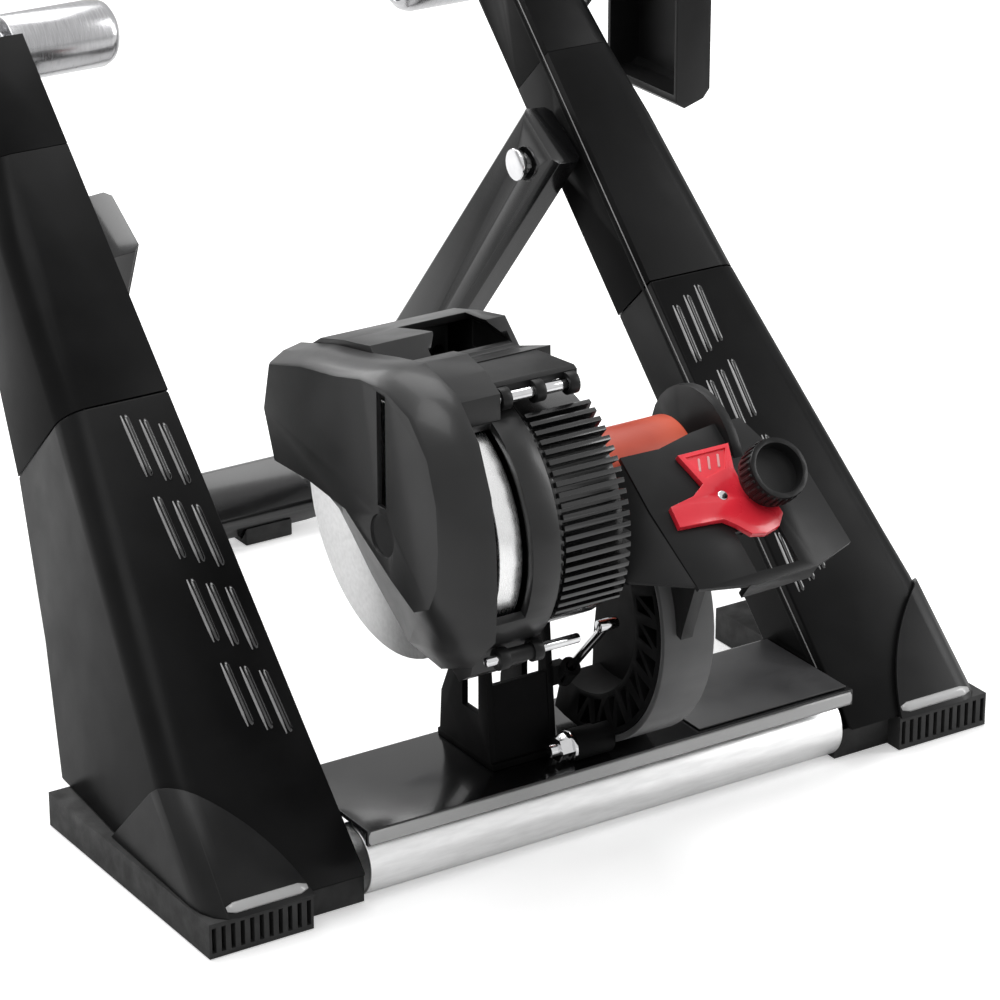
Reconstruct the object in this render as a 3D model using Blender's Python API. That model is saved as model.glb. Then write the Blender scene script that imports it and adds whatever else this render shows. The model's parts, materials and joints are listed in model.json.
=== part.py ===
"""Wheel-on bike trainer: folding A-frame, resistance unit with flywheel and roller, axle clamps.

Metres, +Z up. X runs along the crossbar, -Y is the front, and the origin is on the floor
under the middle of the footprint. Every node is one closed body.
"""

from math import cos, pi, radians, sin

import bmesh
import bpy
from mathutils import Matrix, Vector

# Fits
GAP = 0.0003            # between pieces that touch
RUN = 0.0001            # round a shaft that turns

# Stance
FRONT = -0.2249         # front of the feet, along Y
REAR = 0.3051           # back of the rear bar
TRACK = 0.545           # over the front feet

# Main legs: each lies in a plane that leans back from the floor
LEG_LEAN = radians(45.4)
LEG_START = 0.020       # front plane meets the floor this far before the foot front
LEG_INSIDE = 0.170      # half the width between the legs
LEG_DEPTH = 0.048       # inner wall of a leg
LEG_TOP = 0.5830        # length up the lean
JOINT_LOW = 0.3413      # lower to upper cover
JOINT_HIGH = 0.5070     # upper cover to head
SKIN = 0.003            # cover wall
# up the lean, outer edge, outer wall depth
STATIONS = ((-0.05, 0.2692, 0.158), (0.030, 0.2690, 0.157), (0.115, 0.2655, 0.155),
            (0.150, 0.2610, 0.152), (0.247, 0.2500, 0.113), (0.3413, 0.2390, 0.087),
            (0.454, 0.2300, 0.062), (0.507, 0.2230, 0.054), (0.583, 0.2165, 0.048))
LEG_CORNER = 0.016      # rounded front outer corner
CAP_WALL = 0.0025
TUBE_WIDE = 0.030       # steel tube in each leg
TUBE_DEEP = 0.0443
TUBE_WALL = 0.002

# Feet
PAD_HIGH = 0.0215
PAD_BACK = 0.192        # pad length along Y
PAD_INSIDE = 0.206      # inner end of the ribbed face
STEP_INSIDE = 0.166     # inner step reaches the floor tube
STEP_BACK = 0.012
STEP_HIGH = 0.018
RIBS = 11
RIB_DEEP = 0.005

# Front crossbar and floor tube
BAR_TOP = 0.050
BAR_SHEET = 0.003
BAR_FRONT = 0.001       # behind the foot front
BAR_DEEP = 0.087
BAR_LIP = 0.010
BAR_SKIRT = 0.030
FLOOR_TUBE_R = 0.0210
FLOOR_TUBE_Y = 0.0250   # behind the foot front
FLOOR_TUBE_WALL = 0.002

# Axle clamps, on an axis along X
AXLE_Y = FRONT + 0.4100
AXLE_Z = 0.4004
BARREL_R = 0.021
HEAD_R = 0.0205
HEAD_X = (0.1815, 0.2265)
CLAMP_GRIP = 0.102      # inner end of the clamp cups
CLAMP_OUT = 0.3030       # outer ends of the hand nut and the quick lever
NECK_R = 0.0115         # barrel where it slides in the head
ROD_R = 0.007           # barrel tails
LEVER_X = 0.2560        # quick lever pin
CAM_R = 0.0118
CAM_THROW = 0.0045

# Rear frame
PIVOT_Y = FRONT + 0.325
PIVOT_Z = 0.295
REAR_WIDE = 0.023
REAR_DEEP = 0.0466
REAR_TOP_X = 0.1545
REAR_FOOT_X = 0.111
REAR_BEND = 0.040
REAR_WALL = 0.002
REAR_LIFT = 0.003       # rubber under the rear bar
REAR_OVER = 0.024       # tube end above the pivot
BOLT_R = 0.006

# Resistance unit, coaxial parts about the spindle
SPIN_Y = FRONT + 0.021
SPIN_Z = 0.217
SHAFT_R = 0.006
SEAT_R = 0.0125         # outside of the bearings
ROLLER_R = 0.029
ROLLER_X = (-0.026, 0.048)
WHEEL_R = 0.0705
WHEEL_X = (-0.1160, -0.0990)
GUARD_R = 0.0785
GUARD_X = (-0.1177, -0.0800)
DRUM_R = 0.0695
DRUM_X = (-0.0797, -0.0330)
FIN_HIGH = 0.0075
FIN_THICK = 0.0028
FIN_PITCH = radians(4.6)
FINS = 21
FIN_MIDDLE = radians(164)
COVER_X = (-0.1460, -0.1198)
BROW_END = -0.0925
SHIELD_X = (-0.1195, -0.1180)
HOOD_X = (-0.1177, -0.0280)
MOUTH_X = (-0.0850, -0.0305)
SOCKET_X = (-0.0620, -0.0510)

# Ring that guides the unit, about the unit's own pivot
RING_Y = FRONT + 0.045
RING_Z = 0.137
RING_R = 0.088
RING_IN = 0.059
RING_X = (0.0, 0.0345)
BAND = 0.004
PIN_R = 0.005
FOOT_END = -0.0255      # left face of the ring's foot
YOKE_X = (-0.0710, -0.0260)
LUG_X = (-0.0667, -0.0333)

# Roller bracket plate, sloping down to the front
PLATE_Y = SPIN_Y - 0.1035
PLATE_Z = SPIN_Z - 0.0335
PLATE_SLOPE = radians(36.87)
PLATE_THICK = 0.003
EAR_X = (0.0625, 0.0685)
EAR_R = 0.043
SLOT_X = (0.038, 0.067)
KNOB_X = 0.068
KNOB_U = 0.060          # up the slope
KNOB_R = 0.0180
KNOB_HIGH = 0.0265
KNOB_TILT = radians(14)  # screw leans from the plate's normal to the front
SCREW_R = 0.0045
LEVER_LEVELS = (0.0004, 0.0044)
LEVER_PIN = (0.040, 0.056)

SIDES = 40

COLOURS = {
    "cover": ((0.012, 0.012, 0.013), 0.32, 0.0),
    "shell": ((0.020, 0.020, 0.021), 0.42, 0.0),
    "frame": ((0.008, 0.008, 0.009), 0.18, 0.4),
    "rubber": ((0.015, 0.015, 0.015), 0.8, 0.0),
    "pale": ((0.72, 0.72, 0.72), 0.3, 0.6),
    "steel": ((0.55, 0.55, 0.56), 0.25, 1.0),
    "chrome": ((0.75, 0.75, 0.76), 0.1, 1.0),
    "roller": ((0.62, 0.11, 0.06), 0.45, 0.0),
    "red": ((0.62, 0.01, 0.03), 0.3, 0.0),
    "copper": ((0.55, 0.25, 0.12), 0.4, 1.0),
    "aluminium": ((0.60, 0.60, 0.61), 0.35, 1.0),
    "label": ((0.035, 0.035, 0.036), 0.5, 0.0),
}


def clear_scene():
    for obj in list(bpy.data.objects):
        bpy.data.objects.remove(obj, do_unlink=True)


def material(name):
    found = bpy.data.materials.get(name)
    if found:
        return found
    colour, roughness, metallic = COLOURS[name]
    made = bpy.data.materials.new(name)
    made.use_nodes = True
    shader = made.node_tree.nodes["Principled BSDF"]
    shader.inputs["Base Color"].default_value = (*colour, 1.0)
    shader.inputs["Roughness"].default_value = roughness
    shader.inputs["Metallic"].default_value = metallic
    return made


def add_object(name, mesh, look):
    obj = bpy.data.objects.new(name, mesh)
    bpy.context.scene.collection.objects.link(obj)
    if look:
        mesh.materials.append(material(look))
        mesh.shade_smooth()
        mesh.set_sharp_from_angle(angle=radians(32))
    return obj


def from_bmesh(name, bm, look):
    bmesh.ops.recalc_face_normals(bm, faces=bm.faces)
    mesh = bpy.data.meshes.new(name)
    bm.to_mesh(mesh)
    bm.free()
    return add_object(name, mesh, look)


def loft(name, sections, look, closed=False):
    """Skin between loops that have the same number of points, with flat ends."""
    bm = bmesh.new()
    rings = [[bm.verts.new(p) for p in loop] for loop in sections]
    pairs = list(zip(rings, rings[1:]))
    if closed:
        pairs.append((rings[-1], rings[0]))
    count = len(rings[0])
    for low, high in pairs:
        for i in range(count):
            j = (i + 1) % count
            bm.faces.new((low[i], low[j], high[j], high[i]))
    if not closed:
        bm.faces.new(rings[0])
        bm.faces.new(rings[-1])
    return from_bmesh(name, bm, look)


def prism(name, outline, x_range, look):
    """A (y, z) outline pushed along X."""
    low, high = x_range
    return loft(name, [[Vector((x, y, z)) for y, z in outline] for x in (low, high)], look)


def box(name, low, high, look):
    outline = [(low[1], low[2]), (high[1], low[2]), (high[1], high[2]), (low[1], high[2])]
    return prism(name, outline, (low[0], high[0]), look)


def turned(name, profile, centre, look, sides=SIDES, bore=0.0):
    """A body turned about X: profile is (x, radius) along the outside; bore is a through hole."""
    y0, z0 = centre
    loops = []
    for x, r in profile:
        loops.append((x, r))
    if bore:
        loops += [(profile[-1][0], bore), (profile[0][0], bore)]
    rings = []
    for x, r in loops:
        rings.append([Vector((x, y0 + r * cos(2 * pi * i / sides), z0 + r * sin(2 * pi * i / sides)))
                      for i in range(sides)])
    return loft(name, rings, look, closed=bool(bore))


def spindle(name, start, end, radius, look, sides=SIDES, bore=0.0):
    """A rod, or a tube, between two points."""
    start, end = Vector(start), Vector(end)
    axis = end - start
    turn = axis.to_track_quat("X", "Z")
    obj = turned(name, [(0.0, radius), (axis.length, radius)], (0.0, 0.0), look, sides, bore)
    obj.data.transform(Matrix.Translation(start) @ turn.to_matrix().to_4x4())
    return obj


def hide(cutter):
    cutter.hide_render = True
    cutter.display_type = "WIRE"


def boolean(obj, other, operation):
    step = obj.modifiers.new(operation.lower(), "BOOLEAN")
    step.operation = operation
    step.solver = "EXACT"
    step.object = other
    hide(other)
    return obj


def cut(obj, *cutters):
    for cutter in cutters:
        boolean(obj, cutter, "DIFFERENCE")
    return obj


def join(obj, *others):
    for other in others:
        boolean(obj, other, "UNION")
    return obj


def keep(obj, other):
    return boolean(obj, other, "INTERSECT")


def set_origin(obj, point):
    """The object's origin goes to its joint axis, and its shape stays."""
    point = Vector(point)
    obj.data.transform(Matrix.Translation(-point))
    obj.location = point
    return obj


def arc(centre, radius, start, end, steps):
    """Points in (y, z) at angles in degrees, counted from +Y towards +Z."""
    points = []
    for i in range(steps + 1):
        a = radians(start + (end - start) * i / steps)
        points.append((centre[0] + radius * cos(a), centre[1] + radius * sin(a)))
    return points


def lean(x, s, t):
    """A point in a leg: s up the lean, t behind the front plane."""
    y = FRONT - LEG_START + s * cos(LEG_LEAN) + t * sin(LEG_LEAN)
    z = s * sin(LEG_LEAN) - t * cos(LEG_LEAN)
    return Vector((x, y, z))


def between(s, column):
    """Outer edge (column 1) or outer wall depth (column 2) at s."""
    for low, high in zip(STATIONS, STATIONS[1:]):
        if s <= high[0]:
            f = (s - low[0]) / (high[0] - low[0])
            return low[column] + f * (high[column] - low[column])
    return STATIONS[-1][column]


def channel_loop(s, side, grow=0.0, wall=SKIN):
    """Open U section of a leg cover at s: outer line, then the inner line back."""
    edge = between(s, 1)
    deep = between(s, 2)
    r = LEG_CORNER
    outer = [(LEG_INSIDE - grow, LEG_DEPTH), (LEG_INSIDE - grow, -grow)]
    inner = [(LEG_INSIDE - grow + wall, LEG_DEPTH), (LEG_INSIDE - grow + wall, wall - grow)]
    for i in range(5):
        a = pi / 2 * i / 4
        big, small = r + grow, r + grow - wall
        outer.append((edge - r + big * sin(a), r - big * cos(a)))
        inner.append((edge - r + small * sin(a), r - small * cos(a)))
    outer.append((edge + grow, deep))
    inner.append((edge + grow - wall, deep))
    return [lean(side * x, s, t) for x, t in outer + inner[::-1]]


def leg_cover(name, side, start, end):
    marks = [start] + [row[0] for row in STATIONS if start < row[0] < end] + [end]
    return loft(name, [channel_loop(s, side) for s in marks], "cover")


def floor_cutter(name, height):
    return box(name, (-0.4, -0.6, -0.3), (0.4, 0.6, height), None)


def leg_block(name, side, x_range, s_range, t_range, look):
    corners = [(x_range[0], t_range[0]), (x_range[1], t_range[0]),
               (x_range[1], t_range[1]), (x_range[0], t_range[1])]
    return loft(name, [[lean(side * x, s, t) for x, t in corners] for s in s_range], look)


def along_x(name, low, high, y, z, radius, look, sides=SIDES, bore=0.0):
    return turned(name, [(low, radius), (high, radius)], (y, z), look, sides, bore)


def sided(side, near, far):
    """An X range on one side, low value first."""
    return tuple(sorted((side * near, side * far)))


def build_leg(word, side):
    """Covers in three lengths, round a steel tube, with a cast head for the clamp."""
    hinge = sided(side, 0.150, 0.200)
    lower = leg_cover(word + "_lower_cover", side, -0.05, JOINT_LOW - GAP / 2)
    cut(lower, floor_cutter(word + "_floor_cut", PAD_HIGH + GAP))
    upper = leg_cover(word + "_upper_cover", side, JOINT_LOW + GAP / 2, JOINT_HIGH - GAP / 2)
    cut(upper, along_x(word + "_cover_hole", *hinge, PIVOT_Y, PIVOT_Z, BOLT_R + GAP, None, 24))
    head = leg_cover(word + "_head_cover", side, JOINT_HIGH + GAP / 2, LEG_TOP)
    cut(head, along_x(word + "_barrel_way", *sided(side, 0.16, 0.18), AXLE_Y, AXLE_Z, BARREL_R + RUN,
                      None, 48),
        along_x(word + "_head_way", *sided(side, 0.19, 0.24), AXLE_Y, AXLE_Z, HEAD_R + GAP, None, 48))
    tube_x = (LEG_INSIDE + SKIN + GAP, LEG_INSIDE + SKIN + GAP + TUBE_WIDE)
    tube_t = (SKIN + GAP, SKIN + GAP + TUBE_DEEP)
    tube = leg_block(word + "_leg_tube", side, tube_x, (0.020, 0.5550), tube_t, "frame")
    bore = leg_block(word + "_tube_bore", side, (tube_x[0] + TUBE_WALL, tube_x[1] - TUBE_WALL),
                     (0.0, 0.60), (tube_t[0] + TUBE_WALL, tube_t[1] - TUBE_WALL), None)
    cut(tube, bore, floor_cutter(word + "_tube_floor", PAD_HIGH + GAP),
        along_x(word + "_tube_hole", *hinge, PIVOT_Y, PIVOT_Z, BOLT_R + GAP, None, 24))
    x = sided(side, *HEAD_X)
    casting = along_x(word + "_clamp_head", *x, AXLE_Y, AXLE_Z, HEAD_R, "steel", 48)
    neck = leg_block(word + "_neck", side, (HEAD_X[0], HEAD_X[0] + 0.024),
                     (0.5553, 0.582), (tube_t[0] + 0.006, tube_t[1] - 0.006), None)
    join(casting, neck)
    far = HEAD_X[1] - 0.004
    cut(casting, along_x(word + "_barrel_bore", *sided(side, 0.15, far), AXLE_Y, AXLE_Z,
                         NECK_R + GAP, None, 32))
    cut(casting, along_x(word + "_rod_bore", *sided(side, 0.20, 0.25), AXLE_Y, AXLE_Z,
                         ROD_R + RUN, None, 24))


def build_foot(word, side):
    """Rubber foot with a ribbed front, and a low step towards the floor tube."""
    out = TRACK / 2
    x = sided(side, PAD_INSIDE, out)
    pad = box(word + "_foot_pad", (x[0], FRONT, 0.0), (x[1], FRONT + PAD_BACK, PAD_HIGH), "rubber")
    inner = sided(side, STEP_INSIDE, PAD_INSIDE + 0.004)
    step = box(word + "_foot_step", (inner[0], FRONT + STEP_BACK, 0.0),
               (inner[1], FRONT + 0.095, STEP_HIGH), None)
    join(pad, step)
    pitch = (out - PAD_INSIDE) / RIBS
    for i in range(RIBS):
        x = side * (PAD_INSIDE + pitch * (i + 0.5))
        slot = box(f"{word}_rib_{i}", (x - pitch * 0.22, FRONT - 0.002, 0.003),
                   (x + pitch * 0.22, FRONT + RIB_DEEP, PAD_HIGH - 0.003), None)
        cut(pad, slot)


def build_cap(word, side):
    """Corner cap that clips over the foot end of a leg, edged by an arc."""
    marks = (-0.04, 0.03, 0.115, 0.150)
    cap = loft(word + "_foot_cap", [channel_loop(s, side, GAP + CAP_WALL, CAP_WALL) for s in marks],
               "shell")
    centre = lean(side * 0.3482, -0.008, 0.0)
    normal = Vector((0.0, sin(LEG_LEAN), -cos(LEG_LEAN)))
    disc = spindle(word + "_cap_disc", centre - normal * 0.03, centre + normal * 0.16, 0.147, None, 96)
    keep(cap, disc)
    cut(cap, floor_cutter(word + "_cap_floor", PAD_HIGH + GAP))


def build_crossbar():
    """Pressed cover of the front bar, its floor tube and the blank plate on top."""
    front = FRONT + BAR_FRONT
    back = front + BAR_DEEP
    top = BAR_TOP
    outline = [(front, top), (front, top - BAR_LIP), (front + BAR_SHEET, top - BAR_LIP),
               (front + BAR_SHEET, top - BAR_SHEET), (back - BAR_SHEET, top - BAR_SHEET),
               (back - BAR_SHEET, top - BAR_SKIRT), (back, top - BAR_SKIRT), (back, top)]
    end = LEG_INSIDE - GAP
    bar = prism("front_crossbar", outline, (-end, end), "frame")
    tube_y = FRONT + FLOOR_TUBE_Y
    for word, x in (("left", -0.120), ("middle", -0.010), ("right", 0.110)):
        saddle = box(word + "_saddle", (x, tube_y - 0.016, 0.032), (x + 0.012, tube_y + 0.016, top - 0.001),
                     None)
        join(bar, saddle)
    reach = STEP_INSIDE - GAP
    cut(bar, along_x("saddle_seat", -0.2, 0.2, tube_y, FLOOR_TUBE_R, FLOOR_TUBE_R + GAP, None, 48))
    along_x("floor_tube", -reach, reach, tube_y, FLOOR_TUBE_R, FLOOR_TUBE_R, "pale", 48,
            FLOOR_TUBE_R - FLOOR_TUBE_WALL)
    box("label_plate", (0.060, front + 0.004, top + GAP), (0.1675, back - 0.003, top + 0.0013), "label")


def rear_path():
    """Centre line of the rear frame, from the left tube end round to the right one."""
    top = Vector((REAR_TOP_X, PIVOT_Y, PIVOT_Z))
    flat = Vector((0.0, REAR - 0.0255 - PIVOT_Y, 0.0225 - PIVOT_Z)).normalized()
    deep = abs(flat.y) * REAR_DEEP / 2 + abs(flat.z) * REAR_WIDE / 2
    wide = abs(flat.z) * REAR_DEEP / 2 + abs(flat.y) * REAR_WIDE / 2
    foot = Vector((REAR_FOOT_X, REAR - wide, deep + REAR_LIFT))
    down = (foot - top).normalized()
    start = top - down * REAR_OVER
    along = Vector((-1.0, 0.0, 0.0))
    half = down.angle(along) / 2
    begin = foot - down * (REAR_BEND * sin(half) / cos(half))
    centre = foot + (along - down).normalized() * (REAR_BEND / cos(half))
    spin_axis = down.cross(along).normalized()
    bend = []
    for i in range(7):
        turn = Matrix.Rotation(i / 6 * 2 * half, 4, spin_axis)
        bend.append(centre + (turn @ (begin - centre)))
    right = [start] + bend
    left = [Vector((-p.x, p.y, p.z)) for p in right]
    return left + right[::-1], down


def rear_normal(down):
    return Vector((1.0, 0.0, 0.0)).cross(Vector((0.0, down.y, down.z))).normalized()


def path_middle(path):
    """The middle of the low bar between the two tubes."""
    low = sorted(path, key=lambda point: point.z)[:2]
    return (low[0] + low[1]) / 2


def down_of(point, down):
    """The down-tube direction, mirrored for the left tube."""
    return Vector((-down.x, down.y, down.z)) if point.x < 0 else down


def sweep(path, normal, section):
    rings = []
    for i, point in enumerate(path):
        before = path[max(i - 1, 0)]
        after = path[min(i + 1, len(path) - 1)]
        inward = normal.cross((after - before).normalized()).normalized()
        rings.append([point + inward * a + normal * b for a, b in section])
    return rings


def build_rear_frame():
    path, down = rear_path()
    normal = rear_normal(down)
    w, d, c = REAR_WIDE / 2, REAR_DEEP / 2, 0.004
    section = ((w, d - c), (w - c, d), (c - w, d), (-w, d - c), (-w, c - d), (c - w, -d), (w - c, -d),
               (w, c - d))
    frame = loft("rear_frame", sweep(path, normal, section), "frame")
    wall = REAR_WALL
    hollow = [(a - wall * (1 if a > 0 else -1), b - wall * (1 if b > 0 else -1)) for a, b in section]
    shorter = [path[0] + down_of(path[0], down) * 0.004] + path[1:-1] + [path[-1] + down * 0.004]
    drain = spindle("drain_hole", (0.0, path_middle(path).y, -0.01), (0.0, path_middle(path).y, 0.03),
                    0.003, None, 16)
    cut(frame, loft("frame_hollow", sweep(shorter, normal, hollow), None), drain)
    for word, side in (("left", -1), ("right", 1)):
        cut(frame, along_x(word + "_frame_bore", *sided(side, 0.13, 0.18), PIVOT_Y, PIVOT_Z,
                           BOLT_R + RUN, None, 24))
    set_origin(frame, (0.0, PIVOT_Y, PIVOT_Z))


def build_rear_feet():
    """Rubber shoes that wrap the underside of the rear bar."""
    path, down = rear_path()
    normal = rear_normal(down)
    middle = path[len(path) // 2]
    flat = Vector((0.0, down.y, down.z)).normalized()
    loop = [middle + flat * (a * (REAR_WIDE / 2 + GAP)) + normal * (b * (REAR_DEEP / 2 + GAP))
            for a, b in ((1, 1), (-1, 1), (-1, -1), (1, -1))]
    for word, side in (("left", -1), ("right", 1)):
        x = sided(side, 0.026, 0.062)
        shoe = box(word + "_rear_foot", (x[0], middle.y - 0.020, 0.0), (x[1], middle.y + 0.016, 0.020),
                   "rubber")
        cut(shoe, prism(word + "_shoe_cut", [(p.y, p.z) for p in loop], (x[0] - 0.01, x[1] + 0.01), None))
        set_origin(shoe, (0.0, PIVOT_Y, PIVOT_Z))


def build_rear_bolts():
    for word, side in (("left", -1), ("right", 1)):
        bolt = along_x(word + "_frame_bolt", *sided(side, 0.1390, 0.1800), PIVOT_Y, PIVOT_Z, BOLT_R,
                       "chrome", 24)
        head = along_x(word + "_bolt_head", *sided(side, 0.1378, 0.1410), PIVOT_Y, PIVOT_Z, 0.0105,
                       None, 24)
        collar = along_x(word + "_bolt_collar", *sided(side, 0.1685, LEG_INSIDE - GAP), PIVOT_Y, PIVOT_Z,
                         0.0115, None, 24)
        join(bolt, head, collar)


def build_barrel(word, side):
    """Clamp barrel with a stepped tail, and the cup that takes the axle end."""
    grip = CLAMP_GRIP
    points = [(side * grip, BARREL_R - 0.006), (side * (grip + 0.003), BARREL_R - 0.002),
              (side * (grip + 0.008), BARREL_R), (side * 0.1750, BARREL_R),
              (side * 0.1755, NECK_R), (side * 0.2135, NECK_R)]
    barrel = turned(word + "_clamp_barrel", points, (AXLE_Y, AXLE_Z), "steel", 48)
    tail = along_x(word + "_barrel_tail", *sided(side, 0.210, LEVER_X - CAM_R - 0.0007), AXLE_Y, AXLE_Z, ROD_R, None, 24)
    join(barrel, tail)
    nest = along_x(word + "_barrel_nest", *sided(side, grip - 0.01, grip + 0.010), AXLE_Y, AXLE_Z,
                   0.0125 + GAP, None, 32)
    cut(barrel, nest)
    set_origin(barrel, (side * grip, AXLE_Y, AXLE_Z))
    cup = along_x(word + "_clamp_cup", *sided(side, grip, grip + 0.0097), AXLE_Y, AXLE_Z, 0.0125,
                  "steel", 32)
    bowl = turned(word + "_cup_bowl", [(side * (grip - 0.002), 0.0105), (side * (grip + 0.006), 0.0065)],
                  (AXLE_Y, AXLE_Z), None, 32)
    cut(cup, bowl)
    set_origin(cup, (side * grip, AXLE_Y, AXLE_Z))


def build_adjuster():
    """Hand nut on the left that screws the barrel in and out."""
    low, high = -0.2600, -(HEAD_X[1] + GAP)
    nut = along_x("left_adjuster", low, high, AXLE_Y, AXLE_Z, 0.0185, "shell", 12)
    collar = along_x("adjuster_collar", -CLAMP_OUT + 0.002, low + 0.002, AXLE_Y, AXLE_Z, 0.0120, None, 24)
    grip = turned("adjuster_grip", [(-CLAMP_OUT, 0.0170), (-CLAMP_OUT + 0.002, 0.0190),
                                    (-CLAMP_OUT + 0.018, 0.0190), (-CLAMP_OUT + 0.020, 0.0170)],
                  (AXLE_Y, AXLE_Z), None, 12)
    join(nut, collar, grip)
    cut(nut, along_x("adjuster_bore", -0.26, -0.21, AXLE_Y, AXLE_Z, ROD_R + RUN, None, 24))
    set_origin(nut, (high, AXLE_Y, AXLE_Z))


def along_y(name, x, z, low, high, radius, look, sides=24):
    return spindle(name, (x, low, z), (x, high, z), radius, look, sides)


def build_quick_lever():
    """Moulded handle on the right whose cam drives the barrel, on a steel clevis."""
    x, z, y = LEVER_X, AXLE_Z, AXLE_Y
    base = HEAD_X[1] + GAP
    clevis = box("clamp_clevis", (base, y - 0.0155, z - 0.040), (base + 0.0030, y + 0.0155, z + 0.020),
                 "steel")
    for i, low in enumerate((y - 0.0155, y + 0.0125)):
        outline = [(base + 0.001, z - 0.040), (base + 0.008, z - 0.040), (x + 0.007, z - 0.010),
                   (x + 0.007, z + 0.012), (base + 0.001, z + 0.020)]
        cheek = loft(f"clevis_cheek_{i}", [[Vector((a, b, c)) for a, c in outline]
                                           for b in (low, low + 0.003)], None)
        join(clevis, cheek)
    cut(clevis, along_y("clevis_bore", x, z, y - 0.03, y + 0.03, 0.004 + GAP, None),
        along_y("clevis_eye", base + 0.0065, z - 0.026, y - 0.03, y + 0.03, 0.0022, None, 16),
        along_x("clevis_way", base - 0.01, base + 0.01, y, z, ROD_R + RUN, None, 24))
    along_y("lever_pin", x, z, y - 0.0175, y + 0.0175, 0.004, "chrome")
    build_lever_handle(x, y, z)


def build_lever_handle(x, y, z):
    """Paddle outside the clevis, hollow towards the leg, on a boss with the cam."""
    out, front, back = CLAMP_OUT, y - 0.0651, y + 0.0150
    outer = [(out - 0.0264, z - 0.094), (out - 0.020, z - 0.0985), (out - 0.005, z - 0.0940),
             (out, z - 0.088), (out, z - 0.016), (out - 0.004, z + 0.002), (out - 0.0264, z + 0.002)]
    handle = loft("quick_lever", [[Vector((a, b, c)) for a, c in outer] for b in (front, back)], "shell")
    inner = [(out - 0.040, z - 0.0900), (out - 0.0085, z - 0.0885), (out - 0.0035, z - 0.0850),
             (out - 0.0035, z - 0.018), (out - 0.0060, z - 0.002), (out - 0.040, z - 0.002)]
    cut(handle, loft("lever_pocket", [[Vector((a, b, c)) for a, c in inner]
                                      for b in (front + 0.0030, back - 0.0030)], None))
    outline = []
    for i in range(7):
        a = pi / 2 * i / 6
        r = CAM_R - CAM_THROW * 2 / pi * a
        outline.append((x - r * cos(a), z + r * sin(a)))
    outline += [(out - 0.002, z - 0.012), (out - 0.002, z - 0.030), (x + 0.010, z - 0.024),
                (x - 0.004, z - 0.0115)]
    boss = loft("lever_cam", [[Vector((a, b, c)) for a, c in outline] for b in (y - 0.0100, y + 0.0100)],
                None)
    join(handle, boss)
    cut(handle, along_y("handle_bore", x, z, y - 0.03, y + 0.03, 0.004 + RUN, None))
    set_origin(handle, (x, y, z))


def around(*pairs):
    """Side-view points given from the spindle."""
    return [(SPIN_Y + y, SPIN_Z + z) for y, z in pairs]


COVER_FACE = ((0.120, 0.004), (0.131, 0.033), (0.124, 0.062), (0.088, 0.073), (0.050, 0.080),
              (0.022, 0.087), (-0.004, 0.089), (-0.030, 0.081), (-0.049, 0.062), (-0.058, 0.038),
              (-0.060, 0.012), (-0.058, -0.012), (-0.050, -0.027), (-0.034, -0.035), (-0.010, -0.025),
              (0.019, -0.011), (0.041, 0.001), (0.081, 0.005))
COVER_MIDDLE = ((0.125, 0.000), (0.1355, 0.034), (0.128, 0.0655), (0.0905, 0.0765), (0.053, 0.0835),
                (0.024, 0.0905), (-0.004, 0.0955), (-0.034, 0.0875), (-0.0545, 0.067), (-0.066, 0.041),
                (-0.0700, 0.013), (-0.0695, -0.015), (-0.065, -0.036), (-0.050, -0.055), (-0.006, -0.065),
                (0.033, -0.039), (0.055, -0.021), (0.084, 0.001))
COVER_EDGE = ((0.127, -0.002), (0.1375, 0.034), (0.1305, 0.067), (0.092, 0.078), (0.0545, 0.085),
              (0.025, 0.092), (-0.004, 0.098), (-0.037, 0.090), (-0.0585, 0.069), (-0.0705, 0.042),
              (-0.0755, 0.014), (-0.0765, -0.016), (-0.0745, -0.042), (-0.050, -0.067), (-0.0185, -0.080),
              (0.010, -0.057), (0.040, -0.031), (0.092, -0.006))


def cover_ring(points, x, inset=0.0):
    middle = Vector((0.020, 0.012))
    ring = []
    for point in points:
        p = Vector(point)
        p += (middle - p).normalized() * inset
        ring.append(Vector((x, SPIN_Y + p.x, SPIN_Z + p.y)))
    return ring


def build_left_cover():
    x0, x1 = COVER_X
    steps = ((COVER_FACE, x0, 0.002), (COVER_FACE, x0 + 0.002, 0.0), (COVER_MIDDLE, x0 + 0.013, 0.0),
             (COVER_EDGE, x1, 0.0))
    cover = loft("unit_left_cover", [cover_ring(*step) for step in steps], "shell")
    inner = ((COVER_FACE, x0 + 0.003, 0.005), (COVER_MIDDLE, x0 + 0.0145, 0.004),
             (COVER_EDGE, x1 - 0.002, 0.0035), (COVER_EDGE, x1 + 0.01, 0.0035))
    cut(cover, loft("cover_hollow", [cover_ring(*step) for step in inner], None))
    brow = arc((SPIN_Y, SPIN_Z), GUARD_R + 0.0005, 118, 82.3, 6)
    brow += around((0.0104, 0.0945), (-0.004, 0.0975), (-0.022, 0.0935), (-0.037, 0.0850))
    join(cover, prism("cover_brow", brow, (x1 - 0.0005, BROW_END), None))
    slot = box("cover_slot", (x0 - 0.01, SPIN_Y - 0.0045, SPIN_Z + 0.017), (x0 + 0.02, SPIN_Y + 0.0045,
                                                                          SPIN_Z + 0.084), None)
    dimple = along_x("cover_dimple", x0 - 0.01, x0 + 0.0015, SPIN_Y, SPIN_Z, 0.0125, None, 32)
    cut(cover, slot, dimple)


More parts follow.
